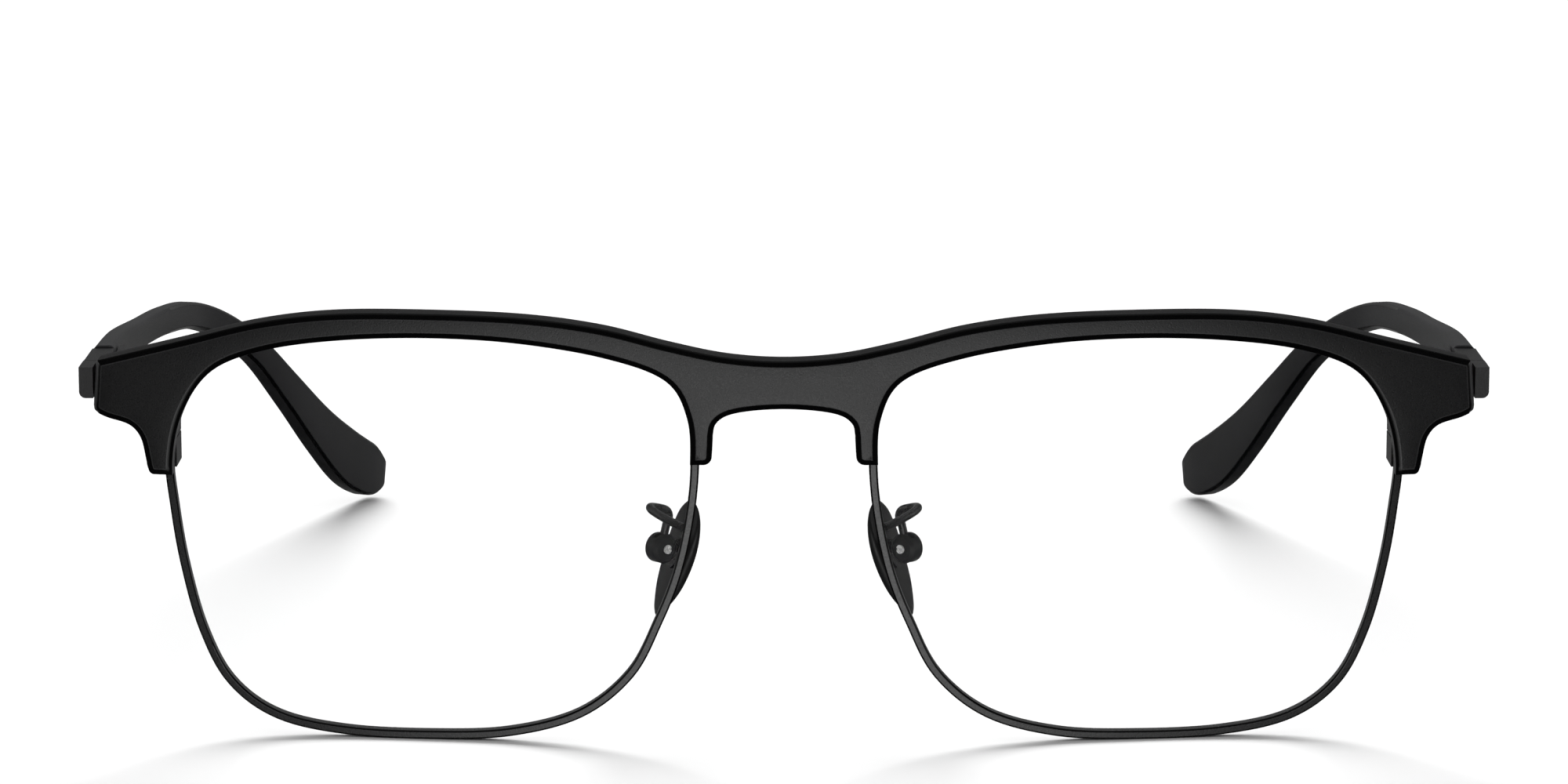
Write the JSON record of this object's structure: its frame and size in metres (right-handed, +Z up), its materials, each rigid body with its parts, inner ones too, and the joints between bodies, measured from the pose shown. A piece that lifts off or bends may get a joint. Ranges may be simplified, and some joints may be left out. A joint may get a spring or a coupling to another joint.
{
  "type": "half rim eyeglasses",
  "caption": "Matte black browline eyeglasses: moulded brow bar over thin metal eyewires, clear lenses, adjustable nose pads and folding temples.",
  "frame": {"origin": "middle of the eyeglasses' footprint with the temples open, at the level of the eyewires' lowest point", "axes": "+X towards the wearer's left, +Y from the front back along the temples to the ears, +Z up"},
  "size_m": [0.15, 0.1343, 0.0458],
  "materials": {
    "brow": "matte, fine grain",
    "temple": "matte, fine grain",
    "metal": "satin black",
    "steel": "turned",
    "pad": "smooth silicone",
    "lens": "clear"
  },
  "bodies": {
    "front": {"brow_bar": "brow", "left_rim": "metal", "right_rim": "metal", "left_lens": "lens", "right_lens": "lens", "left_lock_upper": "metal", "right_lock_upper": "metal", "left_lock_lower": "metal", "right_lock_lower": "metal", "left_lock_screw": "steel", "right_lock_screw": "steel", "left_nose_tab": "metal", "right_nose_tab": "metal", "brow_screws": "steel", "left_end_piece": "metal", "right_end_piece": "metal", "left_hinge_screw": "steel", "right_hinge_screw": "steel", "left_pad_arm": "metal", "right_pad_arm": "metal", "left_pad_box": "metal", "right_pad_box": "metal", "left_pad_screw": "steel", "right_pad_screw": "steel"},
    "left_pad": {"left_pad_mount": "metal", "left_nose_pad": "pad"},
    "right_pad": {"right_pad_mount": "metal", "right_nose_pad": "pad"},
    "left_temple": {"left_hinge_block": "metal", "left_leaf_screws": "steel", "left_temple_arm": "temple", "left_temple_core": "steel"},
    "right_temple": {"right_hinge_block": "metal", "right_leaf_screws": "steel", "right_temple_arm": "temple", "right_temple_core": "steel"}
  },
  "joints": [
    {"name": "left_temple_hinge", "type": "hinge", "parent": "front", "child": "left_temple", "pos_m": [0.0696, -0.0521, 0.0375], "axis": [0, 0, 1], "range_deg": [0, 84]},
    {"name": "left_pad_rock", "type": "hinge", "parent": "front", "child": "left_pad", "pos_m": [0.01295, -0.05655, 0.0193], "axis": [-0.6428, -0.766, 0], "range_deg": [-8, 8]},
    {"name": "right_temple_hinge", "type": "hinge", "parent": "front", "child": "right_temple", "pos_m": [-0.0696, -0.0521, 0.0375], "axis": [0, 0, -1], "range_deg": [0, 81]},
    {"name": "right_pad_rock", "type": "hinge", "parent": "front", "child": "right_pad", "pos_m": [-0.01295, -0.05655, 0.0193], "axis": [0.6428, -0.766, 0], "range_deg": [-8, 8]}
  ]
}
